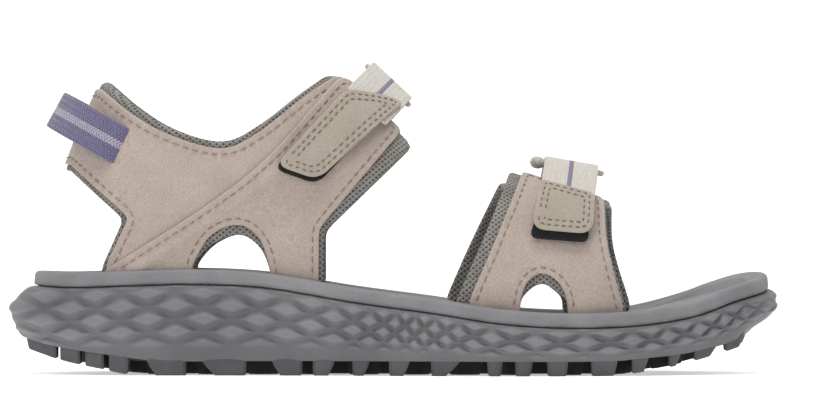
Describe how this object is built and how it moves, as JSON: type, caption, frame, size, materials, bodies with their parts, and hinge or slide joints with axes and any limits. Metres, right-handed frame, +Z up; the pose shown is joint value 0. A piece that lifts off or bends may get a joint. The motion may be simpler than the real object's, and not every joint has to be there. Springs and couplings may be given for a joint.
{
  "type": "strappy sport sandal",
  "caption": "Right sport sandal with a lugged sole, a suede heel and instep upper with a pull loop, and ring straps that peel open.",
  "frame": {"origin": "on the floor, below the middle of the sandal's box", "axes": "+X to the toe, +Y to the inner side of the foot, +Z up"},
  "size_m": [0.266, 0.098, 0.11],
  "materials": {
    "outsole_rubber": "matt moulded rubber",
    "midsole_foam": "matt moulded foam with raised diamonds",
    "footbed_foam": "matt moulded foam",
    "lining_mesh": "open knit mesh",
    "padding_foam": "soft foam",
    "ring_plastic": "moulded plastic, satin",
    "hook_tape": "woven hook tape",
    "loop_tape": "brushed loop tape",
    "tab_suede": "nubuck, stitched edge",
    "strap_webbing": "flat woven webbing with a stripe",
    "pull_webbing": "coarse woven webbing with a pale stripe",
    "upper_suede": "suede, stitched edge"
  },
  "bodies": {
    "sole_and_upper": {"collar_foam_lateral": "padding_foam", "collar_foam_medial": "padding_foam", "footbed": "footbed_foam", "forefoot_foam_lateral": "padding_foam", "forefoot_foam_medial": "padding_foam", "forefoot_lining_lateral": "lining_mesh", "forefoot_lining_medial": "lining_mesh", "forefoot_loop_patch": "loop_tape", "forefoot_panel_lateral": "upper_suede", "forefoot_panel_medial": "upper_suede", "forefoot_ring_keeper": "strap_webbing", "forefoot_strap_root": "strap_webbing", "heel_counter": "upper_suede", "heel_panel_lateral": "upper_suede", "heel_panel_medial": "upper_suede", "instep_loop_patch": "loop_tape", "instep_panel_lateral": "upper_suede", "instep_panel_medial": "upper_suede", "instep_ring_keeper": "strap_webbing", "instep_strap_root": "strap_webbing", "midsole": "midsole_foam", "outsole": "outsole_rubber", "rear_lining_lateral": "lining_mesh", "rear_lining_medial": "lining_mesh"},
    "instep_ring": {"instep_ring": "ring_plastic", "instep_strap_fold": "strap_webbing"},
    "instep_strap": {"instep_strap_webbing": "strap_webbing", "instep_hook_patch": "hook_tape", "instep_tab": "tab_suede"},
    "forefoot_ring": {"forefoot_ring": "ring_plastic", "forefoot_strap_fold": "strap_webbing"},
    "forefoot_strap": {"forefoot_strap_webbing": "strap_webbing", "forefoot_hook_patch": "hook_tape", "forefoot_tab": "tab_suede"},
    "heel_pull": {"heel_pull_loop": "pull_webbing"}
  },
  "joints": [
    {"name": "instep_ring_swing", "type": "hinge", "parent": "sole_and_upper", "child": "instep_ring", "pos_m": [-0.00304, 0.01115, 0.10073], "axis": [-0.7302, 0, 0.6832], "range_deg": [0, 25]},
    {"name": "instep_strap_peel", "type": "hinge", "parent": "instep_ring", "child": "instep_strap", "pos_m": [-0.0012, -0.0004, 0.1027], "axis": [-0.7302, 0, 0.6832], "range_deg": [0, 150]},
    {"name": "forefoot_ring_swing", "type": "hinge", "parent": "sole_and_upper", "child": "forefoot_ring", "pos_m": [0.06074, 0.0099, 0.07174], "axis": [-0.9854, 0, 0.1701], "range_deg": [0, 25]},
    {"name": "forefoot_strap_peel", "type": "hinge", "parent": "forefoot_ring", "child": "forefoot_strap", "pos_m": [0.0612, -0.00165, 0.0744], "axis": [-0.9854, 0, 0.1701], "range_deg": [0, 150]},
    {"name": "heel_pull_swing", "type": "hinge", "parent": "sole_and_upper", "child": "heel_pull", "pos_m": [-0.0982, 0.00175, 0.0799], "axis": [0, 1, 0], "range_deg": [-8, 15], "stiffness_Nm_per_rad": 0.02}
  ]
}
